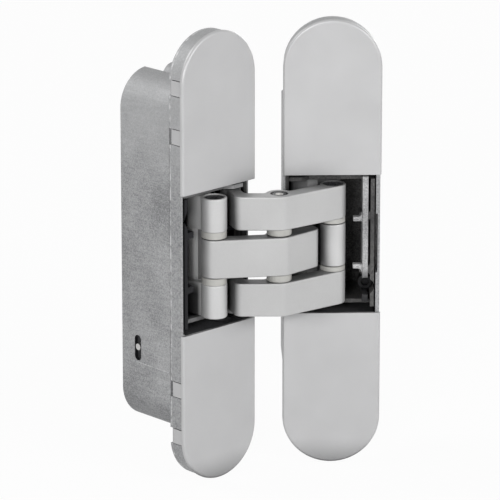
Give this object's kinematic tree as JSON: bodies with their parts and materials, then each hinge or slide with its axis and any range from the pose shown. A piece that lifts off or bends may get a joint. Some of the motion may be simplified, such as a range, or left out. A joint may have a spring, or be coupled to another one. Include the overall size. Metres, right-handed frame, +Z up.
{
  "type": "concealed door hinge",
  "caption": "Concealed door hinge: two slim cast bodies with clip-on cover caps, joined by crossed swan-neck arms on a centre pin, with swinging levers at both ends.",
  "frame": {"origin": "centre of the two fixing holes of the frame housing, in the plane of the back of its face flange", "axes": "+Z up along the pivot pins, +Y into the door frame, +X from the frame housing towards the door leaf; drawn 138 degrees open"},
  "size_m": [0.0844, 0.0545, 0.15],
  "materials": {
    "satin_silver": "satin silver lacquer on die-cast zinc",
    "raw_zinc": "raw die-cast zinc, mottled, matt",
    "bright_steel": "turned steel",
    "black_steel": "black oxide steel",
    "cream_plastic": "moulded acetal, off-white"
  },
  "bodies": {
    "frame_body": {"frame_upper_cover": "satin_silver", "frame_lower_cover": "satin_silver", "frame_housing": "raw_zinc", "frame_carrier": "raw_zinc", "frame_upper_block": "raw_zinc", "frame_lower_block": "raw_zinc", "frame_upper_arm_pin": "bright_steel", "frame_lower_arm_pin": "bright_steel", "frame_guide_pin": "bright_steel", "frame_height_screw": "bright_steel", "frame_upper_block_screw": "bright_steel", "frame_lower_block_screw": "bright_steel", "frame_clamp_screw": "black_steel"},
    "leaf_body": {"leaf_upper_cover": "satin_silver", "leaf_lower_cover": "satin_silver", "leaf_housing": "raw_zinc", "leaf_carrier": "raw_zinc", "leaf_upper_block": "raw_zinc", "leaf_lower_block": "raw_zinc", "leaf_arm_pin": "bright_steel", "leaf_height_screw": "bright_steel", "leaf_upper_block_screw": "bright_steel", "leaf_lower_block_screw": "bright_steel", "leaf_clamp_screw": "black_steel"},
    "outer_arms": {"upper_arm": "satin_silver", "lower_arm": "satin_silver", "centre_pin": "bright_steel", "leaf_knuckle_pin": "bright_steel", "leaf_upper_washer": "cream_plastic", "leaf_lower_washer": "cream_plastic", "centre_upper_washer": "cream_plastic", "centre_lower_washer": "cream_plastic"},
    "middle_link": {"middle_arm": "satin_silver"},
    "frame_lever_link": {"frame_lever": "satin_silver", "frame_knuckle_pin": "bright_steel", "frame_upper_washer": "cream_plastic", "frame_lower_washer": "cream_plastic", "frame_lever_pin": "bright_steel"},
    "leaf_lever_link": {"leaf_lever": "satin_silver", "leaf_upper_lever_pin": "bright_steel", "leaf_lower_lever_pin": "bright_steel"}
  },
  "joints": [
    {"name": "opening", "type": "hinge", "parent": "frame_body", "child": "outer_arms", "pos_m": [0.0114, 0.0002, 0], "axis": [0, 0, -1], "range_deg": [-23.81, 78.25]},
    {"name": "centre_pivot", "type": "hinge", "parent": "outer_arms", "child": "middle_link", "pos_m": [0.0175, -0.0162, 0], "axis": [0, 0, -1], "range_deg": [-18.51, 5.65]},
    {"name": "leaf_pivot", "type": "hinge", "parent": "middle_link", "child": "leaf_body", "pos_m": [0.03301, -0.00809, 0], "axis": [0, 0, -1], "range_deg": [-23.83, 78.27]},
    {"name": "frame_knuckle", "type": "hinge", "parent": "middle_link", "child": "frame_lever_link", "pos_m": [-0.0003, -0.0045, 0], "axis": [0, 0, -1], "range_deg": [-1.83, 5.95]},
    {"name": "leaf_knuckle", "type": "hinge", "parent": "outer_arms", "child": "leaf_lever_link", "pos_m": [0.03856, -0.01942, 0], "axis": [0, 0, -1], "range_deg": [-5.95, 1.83]}
  ],
  "couplings": [
    {"joint": "centre_pivot", "follows": "opening", "ratio": -0.23633},
    {"joint": "leaf_pivot", "follows": "opening", "ratio": 1},
    {"joint": "frame_knuckle", "follows": "opening", "ratio": 0.07584},
    {"joint": "leaf_knuckle", "follows": "opening", "ratio": -0.07584}
  ]
}
